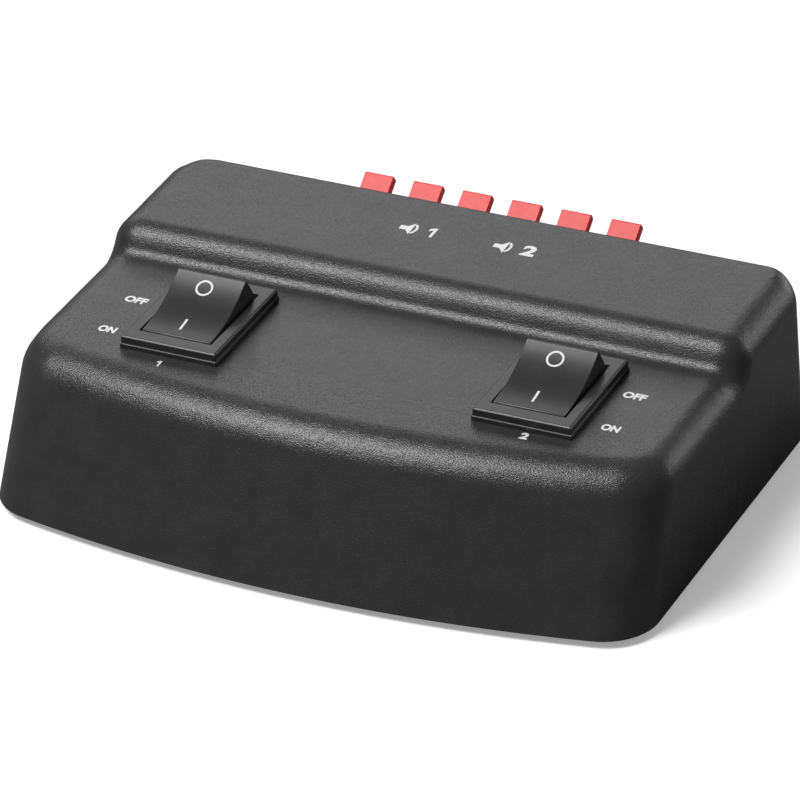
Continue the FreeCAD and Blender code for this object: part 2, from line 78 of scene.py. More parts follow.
class ShaderGraph:
    """A material's node tree, with short calls for the nodes that the finishes share.

    Attributes:
        cell_softness: How rounded the grain's cells are, from 0 to 1.
    """

    cell_softness: float = 0.6

    def __init__(self, name: str) -> None:
        """Start a material that holds one surface shader.

        Args:
            name: The material's name.
        """
        self.material = bpy.data.materials.new(name)
        self.material.use_nodes = True
        self.tree = self.material.node_tree
        self.tree.nodes.clear()
        self.surface = self.tree.nodes.new("ShaderNodeBsdfPrincipled")
        output = self.tree.nodes.new("ShaderNodeOutputMaterial")
        self.tree.links.new(self.surface.outputs[0], output.inputs[0])
        self.place = self.tree.nodes.new("ShaderNodeTexCoord").outputs["Object"]

    def set(self, **values: object) -> None:
        """Give surface sockets their plain values, with spaces written as underscores."""
        for key, value in values.items():
            self.surface.inputs[key.replace("_", " ")].default_value = value

    def link(self, source: bpy.types.NodeSocket, socket: str) -> None:
        """Join a socket to one of the surface's inputs."""
        self.tree.links.new(source, self.surface.inputs[socket])

    def noise(self, size: float, detail: float = 2.0, stretch: Axes | None = None) -> bpy.types.NodeSocket:
        """A noise whose blobs are about size metres wide.

        Args:
            size: The width of one blob in metres.
            detail: How many finer layers are added.
            stretch: Scale along each axis, for brushed or drawn finishes.

        Returns:
            The noise's value socket.
        """
        node = self.tree.nodes.new("ShaderNodeTexNoise")
        node.inputs["Scale"].default_value = 1.0 / size
        node.inputs["Detail"].default_value = detail
        source = self.place
        if stretch:
            mapping = self.tree.nodes.new("ShaderNodeMapping")
            mapping.inputs["Scale"].default_value = stretch
            self.tree.links.new(self.place, mapping.inputs[0])
            source = mapping.outputs[0]
        self.tree.links.new(source, node.inputs["Vector"])
        return node.outputs[0]

    def cells(self, size: float) -> bpy.types.NodeSocket:
        """Smooth rounded cells about size metres wide, as moulded grain has.

        Args:
            size: The width of one cell in metres.

        Returns:
            The distance socket.
        """
        node = self.tree.nodes.new("ShaderNodeTexVoronoi")
        node.feature = "SMOOTH_F1"
        node.inputs["Scale"].default_value = 1.0 / size
        node.inputs["Smoothness"].default_value = self.cell_softness
        self.tree.links.new(self.place, node.inputs["Vector"])
        return node.outputs["Distance"]

    def maths(self, kind: str, first: object, second: object = 0.0) -> bpy.types.NodeSocket:
        """One sum on two sockets or numbers.

        Args:
            kind: Blender's name of the operation.
            first: A socket or a number.
            second: A socket or a number.

        Returns:
            The result socket.
        """
        node = self.tree.nodes.new("ShaderNodeMath")
        node.operation = kind
        for socket, value in zip(node.inputs, (first, second)):
            if isinstance(value, bpy.types.NodeSocket):
                self.tree.links.new(value, socket)
            else:
                socket.default_value = value
        return node.outputs[0]

    def span(self, source: bpy.types.NodeSocket, low: float, high: float, start: float = 0.3,
             end: float = 0.7) -> bpy.types.NodeSocket:
        """A socket's middle values spread between two numbers.

        Args:
            source: The socket read.
            low: The result at start.
            high: The result at end.
            start: The source's value that gives low.
            end: The source's value that gives high.

        Returns:
            The result socket.
        """
        node = self.tree.nodes.new("ShaderNodeMapRange")
        for name, value in (("From Min", start), ("From Max", end), ("To Min", low), ("To Max", high)):
            node.inputs[name].default_value = value
        self.tree.links.new(source, node.inputs["Value"])
        return node.outputs[0]

    def blend(self, factor: bpy.types.NodeSocket, first: object, second: object) -> bpy.types.NodeSocket:
        """A colour between two, by a factor socket.

        Args:
            factor: 0 gives the first colour, 1 the second.
            first: A colour or a socket.
            second: A colour or a socket.

        Returns:
            The colour socket.
        """
        node = self.tree.nodes.new("ShaderNodeMix")
        node.data_type = "RGBA"
        self.tree.links.new(factor, node.inputs[0])
        for socket, value in zip(node.inputs[6:8], (first, second)):
            if isinstance(value, bpy.types.NodeSocket):
                self.tree.links.new(value, socket)
            else:
                socket.default_value = (*value, 1.0)
        return node.outputs[2]

    def bump(self, height: bpy.types.NodeSocket, depth: float) -> None:
        """Raise the surface by a height socket.

        Args:
            height: The height, about 0 to 1.
            depth: Metres for a height of 1.
        """
        node = self.tree.nodes.new("ShaderNodeBump")
        node.inputs["Distance"].default_value = depth
        node.inputs["Strength"].default_value = 1.0
        self.tree.links.new(height, node.inputs["Height"])
        self.tree.links.new(node.outputs[0], self.surface.inputs["Normal"])


@dataclass(frozen=True)
class MouldedPlastic:
    """Plastic from a mould: grain, slight mottling and uneven gloss.

    Attributes:
        name: The material's name.
        colour: The plastic's own colour.
        mottle: The colour that its paler patches drift to.
        gloss: Roughness in the smooth and the dull patches.
        grain: Width of the mould's grain in metres.
        depth: Depth of the grain in metres.
        scuff: How strongly fine rub marks change the gloss.
        patch_grains: Width of a paler patch, in grains.
        speckle_grains: Width of a speckle, in grains.
        rub_grains: Width of a rub mark, in grains.
        speckle_low: What the weakest speckle leaves of a patch.
        speckle_height: The speckle's height beside the grain's.
    """

    name: str
    colour: Colour
    mottle: Colour
    gloss: tuple[float, float]
    grain: float
    depth: float
    scuff: float = 0.02
    patch_grains: float = 24.0
    speckle_grains: float = 0.8
    rub_grains: float = 6.0
    speckle_low: float = 0.4
    speckle_height: float = 0.8

    def graph(self) -> tuple[ShaderGraph, bpy.types.NodeSocket, bpy.types.NodeSocket]:
        """The node tree with its gloss done, the colour socket, and the grain's height for the bump."""
        graph = ShaderGraph(self.name)
        patches = graph.noise(self.grain * self.patch_grains, detail=3.0)
        speckle = graph.noise(self.grain * self.speckle_grains, detail=1.0)
        strength = graph.span(speckle, self.speckle_low, 1.0)
        tone = graph.maths("MULTIPLY", graph.span(patches, 0.0, 1.0), strength)
        colour = graph.blend(tone, self.colour, self.mottle)
        rub = graph.noise(self.grain * self.rub_grains, detail=4.0)
        rough = graph.maths("ADD", graph.span(speckle, *self.gloss), graph.span(rub, -self.scuff, self.scuff))
        graph.link(rough, "Roughness")
        fine = graph.maths("MULTIPLY", speckle, self.speckle_height)
        height = graph.maths("ADD", graph.cells(self.grain), fine)
        return graph, colour, height

    def material(self) -> bpy.types.Material:
        """The finished material."""
        graph, colour, height = self.graph()
        graph.link(colour, "Base Color")
        graph.bump(height, self.depth)
        return graph.material


@dataclass(frozen=True)
class CasePlastic(MouldedPlastic):
    """The case's grained plastic, with the fine sink line that crosses the front deck: a bumped groove whose
    colour is darkened as painted shade.

    Attributes:
        line_y: Where the line lies, in metres.
        line_half_length: Half its length, in metres.
        line_half_width: Half its width, in metres.
        line_core: The share of its width that is fully deep.
        line_low_z: The line shows above this height.
        groove_painted_shade: Painted shade: the near-black colour laid in the groove for the shade that falls
            there.
    """

    line_y: float = -17.4 * MM
    line_half_length: float = 19.4 * MM
    line_half_width: float = 0.07 * MM
    line_core: float = 0.4
    line_low_z: float = 22.0 * MM
    groove_painted_shade: Colour = (0.006, 0.006, 0.006)

    def material(self) -> bpy.types.Material:
        """The grained material with the groove added to its height, and painted shade darkening the groove's
        colour.
        """
        graph, colour, height = self.graph()
        split = graph.tree.nodes.new("ShaderNodeSeparateXYZ")
        graph.tree.links.new(graph.place, split.inputs[0])
        across = graph.maths("ABSOLUTE", graph.maths("SUBTRACT", split.outputs[1], self.line_y))
        near = graph.span(across, 1.0, 0.0, self.line_half_width * self.line_core, self.line_half_width)
        along = graph.maths("LESS_THAN", graph.maths("ABSOLUTE", split.outputs[0]), self.line_half_length)
        above = graph.maths("GREATER_THAN", split.outputs[2], self.line_low_z)
        groove = graph.maths("MULTIPLY", near, graph.maths("MULTIPLY", along, above))
        # Painted shade: the groove's colour is blended to near-black for the shade that falls in it.
        graph.link(graph.blend(groove, colour, self.groove_painted_shade), "Base Color")
        graph.bump(graph.maths("SUBTRACT", height, groove), self.depth)
        return graph.material


@dataclass(frozen=True)
class Metal:
    """Stamped or turned metal with drawn streaks and small dull spots.

    Attributes:
        name: The material's name.
        colour: The metal's colour.
        stain: The colour of its duller spots.
        gloss: Roughness from bright to dull.
        streak: Width of a drawn streak, in metres.
        drawn: Scale along each axis, which draws the streaks out along X.
        spot: Width of a dull spot, in metres.
        depth: Depth of the streaks, in metres.
    """

    name: str
    colour: Colour
    stain: Colour
    gloss: tuple[float, float]
    streak: float = 0.3 * MM
    drawn: Axes = (0.15, 1.0, 1.0)
    spot: float = 1.2 * MM
    depth: float = 0.006 * MM

    def material(self) -> bpy.types.Material:
        """The finished material."""
        graph = ShaderGraph(self.name)
        graph.set(Metallic=1.0)
        streaks = graph.noise(self.streak, detail=3.0, stretch=self.drawn)
        spots = graph.noise(self.spot)
        graph.link(graph.blend(graph.span(spots, 0.0, 1.0), self.colour, self.stain), "Base Color")
        graph.link(graph.span(streaks, *self.gloss), "Roughness")
        graph.bump(streaks, self.depth)
        return graph.material


@dataclass(frozen=True)
class PrintedInk:
    """White pad-printed ink, a little thin in places.

    Attributes:
        name: The material's name.
        colour: Full ink.
        thin: Where it is thin.
        gloss: Roughness where it is thin and where it is full.
        patch: Width of a thin patch, in metres.
        cover: The noise's values between which the ink becomes full.
        depth: Depth of its unevenness, in metres.
    """

    name: str
    colour: Colour
    thin: Colour
    gloss: tuple[float, float] = (0.42, 0.6)
    patch: float = 0.25 * MM
    cover: tuple[float, float] = (0.25, 0.45)
    depth: float = 0.004 * MM

    def material(self) -> bpy.types.Material:
        """The finished material."""
        graph = ShaderGraph(self.name)
        patches = graph.noise(self.patch)
        full = graph.span(patches, 0.0, 1.0, *self.cover)
        graph.link(graph.blend(full, self.thin, self.colour), "Base Color")
        graph.link(graph.span(patches, *self.gloss), "Roughness")
        graph.bump(patches, self.depth)
        return graph.material


FINISHES = {
    Slot.CASE: CasePlastic(
        "grained_black_case", (0.030, 0.030, 0.031), (0.046, 0.046, 0.047), (0.25, 0.34), 0.20 * MM,
        0.036 * MM),
    Slot.SWITCH: MouldedPlastic(
        "satin_black_switch", (0.022, 0.022, 0.023), (0.034, 0.034, 0.035), (0.30, 0.38), 0.16 * MM,
        0.004 * MM),
    Slot.RED: MouldedPlastic(
        "red_lever_plastic", (0.85, 0.032, 0.026), (0.90, 0.045, 0.036), (0.38, 0.46), 0.2 * MM, 0.005 * MM),
    Slot.BLACK: MouldedPlastic(
        "black_lever_plastic", (0.020, 0.020, 0.021), (0.032, 0.032, 0.033), (0.34, 0.42), 0.2 * MM,
        0.005 * MM),
    Slot.TERMINAL: MouldedPlastic(
        "black_terminal_plastic", (0.026, 0.026, 0.027), (0.038, 0.038, 0.039), (0.42, 0.52), 0.25 * MM,
        0.008 * MM),
    Slot.RUBBER: MouldedPlastic(
        "foot_rubber", (0.028, 0.028, 0.028), (0.045, 0.044, 0.043), (0.75, 0.88), 0.3 * MM, 0.015 * MM),
    Slot.BOARD: MouldedPlastic(
        "board_lacquer", (0.012, 0.11, 0.04), (0.02, 0.16, 0.06), (0.25, 0.35), 0.5 * MM, 0.01 * MM),
    Slot.WIRE: MouldedPlastic(
        "wire_insulation", (0.55, 0.03, 0.03), (0.62, 0.05, 0.04), (0.40, 0.50), 0.3 * MM, 0.004 * MM),
    Slot.STEEL: Metal("zinc_plated_steel", (0.62, 0.63, 0.64), (0.48, 0.49, 0.50), (0.24, 0.42)),
    Slot.BRASS: Metal("contact_brass", (0.80, 0.60, 0.28), (0.58, 0.40, 0.18), (0.20, 0.38)),
    Slot.PRINT: PrintedInk("white_print", (0.86, 0.86, 0.86), (0.62, 0.62, 0.62)),
}


def joined(shape: bmesh.types.BMesh) -> None:
    """Join points of a mesh that lie on each other."""
    bmesh.ops.remove_doubles(shape, verts=shape.verts, dist=JOIN_DISTANCE)


class Workshop:
    """Makes each finish once, and turns meshes into pieces that ride a body.

    Attributes:
        flat_turn: Faces that turn less than this many degrees become one.
        hard_turn: Edges that turn more than this many degrees are hard.
        edge_segments: Faces across a rounded edge.
        most_corners: Faces with more corners than this are cut into triangles.
    """

    flat_turn: float = 0.4
    hard_turn: float = 28.0
    edge_segments: int = 3
    most_corners: int = 4

    def __init__(self) -> None:
        """Build every material."""
        self.materials = {slot: finish.material() for slot, finish in FINISHES.items()}

    def dress_nodes(self) -> None:
        """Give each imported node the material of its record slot."""
        for entry in frame["record"]["subparts"]:
            node = frame["nodes"][entry["node"]]
            node.data.materials.clear()
            node.data.materials.append(self.materials[Slot(entry["material_slot"])])
            log.info("node %s: %s", entry["node"], entry["material_slot"])

    def piece(self, name: str, shape: bmesh.types.BMesh, slot: Slot, body: str) -> bpy.types.Object:
        """A finished mesh as an object that rides on a body.

        Args:
            name: The piece's name.
            shape: Its mesh, in metres and in place; it is freed.
            slot: Its finish.
            body: The body that carries it.

        Returns:
            The new object.
        """
        mesh = bpy.data.meshes.new(name)
        shape.to_mesh(mesh)
        shape.free()
        mesh.materials.append(self.materials[slot])
        obj = bpy.data.objects.new(name, mesh)
        bpy.context.scene.collection.objects.link(obj)
        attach(obj, body)
        log.info("piece %s: %d faces on %s", name, len(mesh.polygons), body)
        return obj

    def softened(self, node: str, name: str, slot: Slot, body: str, width: float) -> bpy.types.Object:
        """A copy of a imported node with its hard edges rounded, which stands for the node.

        Args:
            node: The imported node.
            name: The piece's name.
            slot: Its finish.
            body: The body that carries it.
            width: Width of the rounding in metres; 0 leaves the edges.

        Returns:
            The new object.
        """
        shape = bmesh.new()
        shape.from_mesh(frame["nodes"][node].data)
        joined(shape)
        bmesh.ops.dissolve_degenerate(shape, edges=shape.edges, dist=JOIN_DISTANCE)
        bmesh.ops.dissolve_limit(shape, angle_limit=math.radians(self.flat_turn), verts=shape.verts,
                                 edges=shape.edges)
        limit = math.radians(self.hard_turn)
        if width > 0:
            hard = [edge for edge in shape.edges
                    if len(edge.link_faces) == 2 and edge.calc_face_angle() > limit]
            bmesh.ops.bevel(shape, geom=hard, offset=width, offset_type="OFFSET", affect="EDGES",
                            segments=self.edge_segments, profile=0.5, material=-1, clamp_overlap=True)
        wide = [face for face in shape.faces if len(face.verts) > self.most_corners]
        bmesh.ops.triangulate(shape, faces=wide)
        obj = self.piece(name, shape, slot, body)
        obj.data.shade_smooth()
        obj.data.set_sharp_from_angle(angle=limit)
        weigh = obj.modifiers.new("even_normals", "WEIGHTED_NORMAL")
        weigh.keep_sharp = True
        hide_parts(node)
        return obj


@dataclass(frozen=True)
class Word:
    """A printed word or figure on the front deck.

    Attributes:
        name: The mark's name.
        words: What it says.
        x: Where its middle stands from left to right, in millimetres.
        y: Where its middle stands from front to rear, in millimetres.
        width: Its whole width, in millimetres.
    """

    name: str
    words: str
    x: float
    y: float
    width: float


@dataclass
class Lettering:
    """White printed marks: plain words and figures beside the switches, and two loudspeaker signs behind.

    Attributes:
        workshop: Makes the pieces.
        deck_z: Height of the front deck, in metres.
        raised_start: Where the raised deck starts, as y and z in metres.
        raised_rise: The raised deck's rise towards the rear, in degrees.
        lift: How far ink stands off the plastic, in metres.
        thickness: Ink thickness, in metres.
        cap: Height of a capital letter, in metres.
        weight: How much each stroke is thickened, as a share of the cap height.
        sign_y: Where the loudspeaker signs stand, in metres.
        sign_height: Height of a loudspeaker sign, in metres.
        sign_figure: Height of the figure beside a sign, as a share of the sign's.
        font_cap: Height of the font's capitals, as a share of its size.
        curve_steps: How finely a letter's curves are divided.
        one_stroke: Width of the figure 1, as a share of its height.
        one_flag: How far its flag reaches out and down, as shares of its height.
        one_flag_start: Where its flag starts, as a share of half its height.
        magnet: Half the width of a sign's magnet, as a share of the sign's height.
        cone: Length of a sign's cone, as a share of its height.
        arc: Inner and outer radius of its sound arc, as shares of its height.
        arc_reach: How far the arc goes to each side, in degrees.
        arc_steps: Faces along the arc.
        words: The words and figures on the front deck.
        one_place: Where the front deck's 1 stands, in millimetres.
        signs_x: Where the loudspeaker signs stand, in millimetres.
        sign_one_x: Where the first sign's figure stands, in millimetres.
        sign_two_x: Where the second sign's figure stands, in millimetres.
        sign_two_width: Width of the second sign's figure, in millimetres.
    """

    workshop: Workshop
    deck_z: float = 23.2 * MM
    raised_start: tuple[float, float] = (8.87 * MM, 27.3 * MM)
    raised_rise: float = 0.7
    lift: float = 0.012 * MM
    thickness: float = 0.02 * MM
    cap: float = 1.55 * MM
    weight: float = 0.065
    sign_y: float = 22.4 * MM
    sign_height: float = 3.4 * MM
    sign_figure: float = 0.8
    font_cap: float = 0.7
    curve_steps: int = 6
    one_stroke: float = 0.17
    one_flag: tuple[float, float] = (0.24, 0.16)
    one_flag_start: float = 0.5
    magnet: float = 0.16
    cone: float = 0.26
    arc: tuple[float, float] = (0.55, 0.66)
    arc_reach: float = 40.0
    arc_steps: int = 12
    words: tuple[Word, ...] = (
        Word("off_left", "OFF", -39.15, -5.45, 3.55),
        Word("on_left", "ON", -39.2, -14.8, 2.75),
        Word("off_right", "OFF", 38.6, -4.1, 3.5),
        Word("on_right", "ON", 38.9, -13.7, 2.75),
        Word("two", "2", 28.6, -20.3, 1.25),
    )
    one_place: tuple[float, float] = (-27.8, -21.0)
    signs_x: tuple[float, float] = (-9.0, 6.0)
    sign_one_x: float = -4.2
    sign_two_x: float = 11.0
    sign_two_width: float = 2.2

    def thicken(self, shape: bmesh.types.BMesh) -> bmesh.types.BMesh:
        """Give a flat shape at z 0 its ink thickness, half to each side."""
        made = bmesh.ops.extrude_face_region(shape, geom=shape.faces[:])
        top = [part for part in made["geom"] if isinstance(part, bmesh.types.BMVert)]
        bmesh.ops.translate(shape, vec=(0, 0, self.thickness), verts=top)
        bmesh.ops.translate(shape, vec=(0, 0, -self.thickness / 2), verts=shape.verts)
        bmesh.ops.recalc_face_normals(shape, faces=shape.faces)
        return shape

    def text(self, words: str, cap: float, width: float) -> bmesh.types.BMesh:
        """Flat letters centred on the origin, facing +Z.

        Args:
            words: What they say.
            cap: Height of a capital in metres.
            width: Width of the whole word in metres.

        Returns:
            The letters' mesh.
        """
        curve = bpy.data.curves.new("words", "FONT")
        curve.body = words
        curve.align_x = "CENTER"
        curve.align_y = "CENTER"
        curve.size = cap / self.font_cap
        curve.offset = self.weight * cap
        curve.extrude = self.thickness / 2
        curve.resolution_u = self.curve_steps
        carrier = bpy.data.objects.new("words", curve)
        bpy.context.scene.collection.objects.link(carrier)
        mesh = bpy.data.meshes.new_from_object(carrier.evaluated_get(bpy.context.evaluated_depsgraph_get()))
        shape = bmesh.new()
        shape.from_mesh(mesh)
        bpy.data.objects.remove(carrier)
        bpy.data.curves.remove(curve)
        bpy.data.meshes.remove(mesh)
        joined(shape)
        across = [vert.co.x for vert in shape.verts]
        bmesh.ops.translate(shape, vec=(-(max(across) + min(across)) / 2, 0, 0), verts=shape.verts)
        bmesh.ops.scale(shape, vec=(width / (max(across) - min(across)), 1.0, 1.0), verts=shape.verts)
        return shape

    def figure_one(self, cap: float) -> bmesh.types.BMesh:
        """The figure 1: an upright stroke with a slanted flag."""
        shape = bmesh.new()
        stroke, half = self.one_stroke * cap, cap / 2
        bmesh.ops.create_grid(shape, x_segments=1, y_segments=1, size=1.0,
                              matrix=Matrix.Diagonal((stroke / 2, half, 1.0, 1.0)))
        top_left = [edge for edge in shape.edges if all(vert.co.x < 0 for vert in edge.verts)]
        bmesh.ops.subdivide_edges(shape, edges=top_left, cuts=1)
        middle = [vert for vert in shape.verts if vert.co.x < 0 and abs(vert.co.y) < half / 2]
        bmesh.ops.translate(shape, vec=(0, half * self.one_flag_start, 0), verts=middle)
        flag = [edge for edge in shape.edges if all(vert.co.x < 0 and vert.co.y > 0 for vert in edge.verts)]
        made = bmesh.ops.extrude_edge_only(shape, edges=flag)
        outer = [part for part in made["geom"] if isinstance(part, bmesh.types.BMVert)]
        out, down = self.one_flag
        bmesh.ops.translate(shape, vec=(-out * cap, -down * cap, 0), verts=outer)
        return self.thicken(shape)

    def loudspeaker(self, height: float) -> bmesh.types.BMesh:
        """A plain loudspeaker sign: a square magnet, a cone and one sound arc."""
        shape = bmesh.new()
        magnet, cone = self.magnet * height, self.cone * height
        bmesh.ops.create_grid(shape, x_segments=1, y_segments=1, size=magnet)
        mouth = [edge for edge in shape.edges if all(vert.co.x > 0 for vert in edge.verts)]
        made = bmesh.ops.extrude_edge_only(shape, edges=mouth)
        rim = [part for part in made["geom"] if isinstance(part, bmesh.types.BMVert)]
        bmesh.ops.translate(shape, vec=(cone, 0, 0), verts=rim)
        bmesh.ops.scale(shape, vec=(1, height / 2 / magnet, 1), verts=rim)
        turn = Matrix.Rotation(math.radians(-self.arc_reach), 4, "Z")
        ends = [shape.verts.new(turn @ Vector((share * height, 0, 0))) for share in self.arc]
        start = shape.edges.new(ends)
        bmesh.ops.spin(shape, geom=[*ends, start], axis=(0, 0, 1), cent=(0, 0, 0),
                       angle=math.radians(2 * self.arc_reach), steps=self.arc_steps)
        return self.thicken(shape)

    def lay(self, name: str, shape: bmesh.types.BMesh, x: float, y: float) -> None:
        """Put a flat mark on whichever deck lies under a point."""
        ink = self.lift + self.thickness / 2
        start_y, start_z = self.raised_start
        place = Matrix.Translation((x, y, self.deck_z + ink))
        if y > start_y:
            rise = math.radians(self.raised_rise)
            height = start_z + (y - start_y) * math.tan(rise)
            place = Matrix.Translation((x, y, height + ink)) @ Matrix.Rotation(rise, 4, "X")
        bmesh.ops.transform(shape, matrix=place, verts=shape.verts)
        self.workshop.piece(name, shape, Slot.PRINT, "case")

    def build(self) -> None:
        """Print every mark on the decks."""
        for word in self.words:
            shape = self.text(word.words, self.cap, word.width * MM)
            self.lay(f"print_{word.name}", shape, word.x * MM, word.y * MM)
        one_x, one_y = self.one_place
        self.lay("print_one", self.figure_one(self.cap), one_x * MM, one_y * MM)
        tall = self.sign_height
        for number, x in enumerate(self.signs_x, 1):
            self.lay(f"print_loudspeaker_{number}", self.loudspeaker(tall), x * MM, self.sign_y)
        figure = tall * self.sign_figure
        self.lay("print_sign_one", self.figure_one(figure), self.sign_one_x * MM, self.sign_y)
        two = self.text("2", figure, self.sign_two_width * MM)
        self.lay("print_sign_two", two, self.sign_two_x * MM, self.sign_y)


@dataclass
class Levers:
    """The twelve clamp levers at the rear, six red over six black.

    Attributes:
        workshop: Makes the pieces.
        edge: Rounding of a lever's edges, in metres.
        columns: Levers in each row.
    """

    workshop: Workshop
    edge: float = 0.18 * MM
    columns: int = 6

    def build(self) -> None:
        """Round each lever's edges and put it on its own body."""
        for colour, slot in (("red", Slot.RED), ("black", Slot.BLACK)):
            for number in range(1, self.columns + 1):
                node = f"{colour}_lever_{number}"
                self.workshop.softened(node, f"{node}_tab", slot, node, self.edge)


@dataclass
class RockerSwitch:
    """One rocker switch: its bezel, its cap and the marks on the cap.

    Attributes:
        workshop: Makes the pieces.
        lettering: Sizes of the ink.
        side: left or right.
        x: The switch's middle, in metres.
        pivot: The cap's pivot, as y and z in metres.
        tilt: The cap's tilt at rest, in degrees.
        bezel_edge: Rounding of the bezel's edges, in metres.
        cap_edge: Rounding of the cap's edges, in metres.
        ring_outer: Outer radius of the O, in metres.
        ring_inner: Inner radius of the O, in metres.
        ring_steps: Faces round the O.
        bar_half: Half the width and half the length of the I, in metres.
        bar_cuts: Cuts across the I, so that it can follow the dish.
        dish_radius: Radius of the cap's dished face, in metres.
        dish_centre: Height of the dish's centre above the pivot, in metres.
        mark_x: How far the marks stand to the right of the cap's middle, in metres.
        ring_along: Where the O stands towards the rear, in metres.
        bar_along: Where the I stands towards the rear, in metres.
    """

    workshop: Workshop
    lettering: Lettering
    side: str
    x: float
    pivot: tuple[float, float] = (-8.25 * MM, 22.1 * MM)
    tilt: float = 17.5
    bezel_edge: float = 0.10 * MM
    cap_edge: float = 0.14 * MM
    ring_outer: float = 1.33 * MM
    ring_inner: float = 1.02 * MM
    ring_steps: int = 48
    bar_half: tuple[float, float] = (0.18 * MM, 1.25 * MM)
    bar_cuts: int = 6
    dish_radius: float = 21.31 * MM
    dish_centre: float = 25.60 * MM
    mark_x: float = -0.3 * MM
    ring_along: float = 4.0 * MM
    bar_along: float = -3.45 * MM

    def face_height(self, along: float) -> float:
        """Height of the cap's dished face above the pivot, in the cap's own frame.

        Args:
            along: Distance towards the rear from the middle, in metres.

        Returns:
            The height in metres.
        """
        return self.dish_centre - math.sqrt(self.dish_radius ** 2 - along ** 2)

    def print_mark(self, name: str, shape: bmesh.types.BMesh, along: float) -> None:
        """Lay a flat mark on the cap's face.

        Args:
            name: The piece's name.
            shape: The mark, flat and centred on the origin.
            along: Its place towards the rear from the cap's middle, in metres.
        """
        for vert in shape.verts:
            reach = along + vert.co.y
            height = self.face_height(reach) + self.lettering.lift + self.lettering.thickness / 2
            vert.co = Vector((self.mark_x + vert.co.x, reach, height + vert.co.z))
        place = Matrix.Translation((self.x, *self.pivot)) @ Matrix.Rotation(math.radians(self.tilt), 4, "X")
        bmesh.ops.transform(shape, matrix=place, verts=shape.verts)
        self.workshop.piece(name, shape, Slot.PRINT, f"{self.side}_rocker")

    def ring(self) -> bmesh.types.BMesh:
        """The O mark: a flat ring with ink thickness, spun round Z."""
        shape = bmesh.new()
        half = self.lettering.thickness / 2
        corners = [shape.verts.new((radius, 0, z)) for radius, z in
                   ((self.ring_inner, -half), (self.ring_outer, -half), (self.ring_outer, half),
                    (self.ring_inner, half))]
        section = [shape.edges.new(pair) for pair in zip(corners, corners[1:] + corners[:1])]
        bmesh.ops.spin(shape, geom=corners + section, axis=(0, 0, 1), cent=(0, 0, 0), angle=math.tau,
                       steps=self.ring_steps, use_merge=True)
        bmesh.ops.recalc_face_normals(shape, faces=shape.faces)
        return shape

    def bar(self) -> bmesh.types.BMesh:
        """The I mark: a thin upright bar."""
        shape = bmesh.new()
        bmesh.ops.create_cube(shape, size=2.0)
        bmesh.ops.scale(shape, vec=(*self.bar_half, self.lettering.thickness / 2), verts=shape.verts)
        long_way = [edge for edge in shape.edges
                    if abs(edge.verts[0].co.y - edge.verts[1].co.y) > self.bar_half[1]]
        bmesh.ops.subdivide_edges(shape, edges=long_way, cuts=self.bar_cuts, use_grid_fill=True)
        return shape

    def build(self) -> None:
        """Round the bezel and the cap, and print the marks."""
        self.workshop.softened(f"{self.side}_switch_body", f"{self.side}_bezel", Slot.SWITCH, "case",
                               self.bezel_edge)
        self.workshop.softened(f"{self.side}_rocker", f"{self.side}_rocker_cap", Slot.SWITCH,
                               f"{self.side}_rocker", self.cap_edge)
        self.print_mark(f"print_{self.side}_off_ring", self.ring(), self.ring_along)
        self.print_mark(f"print_{self.side}_on_bar", self.bar(), self.bar_along)


@dataclass
class Case:
    """The moulded case with its base plate and the terminal blocks.

    Attributes:
        workshop: Makes the pieces.
        shell_edge: Rounding of the shell's edges, in metres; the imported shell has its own, so it is 0.
        block_edge: Rounding of the terminal blocks' edges, in metres.
        blocks: The terminal blocks' groups.
    """

    workshop: Workshop
    shell_edge: float = 0.0
    block_edge: float = 0.12 * MM
    blocks: tuple[str, ...] = ("speaker_1", "amplifier", "speaker_2")

    def build(self) -> None:
        """Smooth the shell and round the blocks' edges."""
        self.workshop.softened("upper_shell", "moulded_shell", Slot.CASE, "case", self.shell_edge)
        for group in self.blocks:
            self.workshop.softened(f"{group}_terminal_housing", f"{group}_block", Slot.TERMINAL, "case",
                                   self.block_edge)


@dataclass(frozen=True)
class Softbox:
    """A rectangular soft lamp.

    Attributes:
        name: Its name.
        place: Where it hangs, in metres.
        size: Its width and height, in metres.
        radiance: How bright its face is, where 1 is white.
    """

    name: str
    place: tuple[float, float, float]
    size: tuple[float, float]
    radiance: float


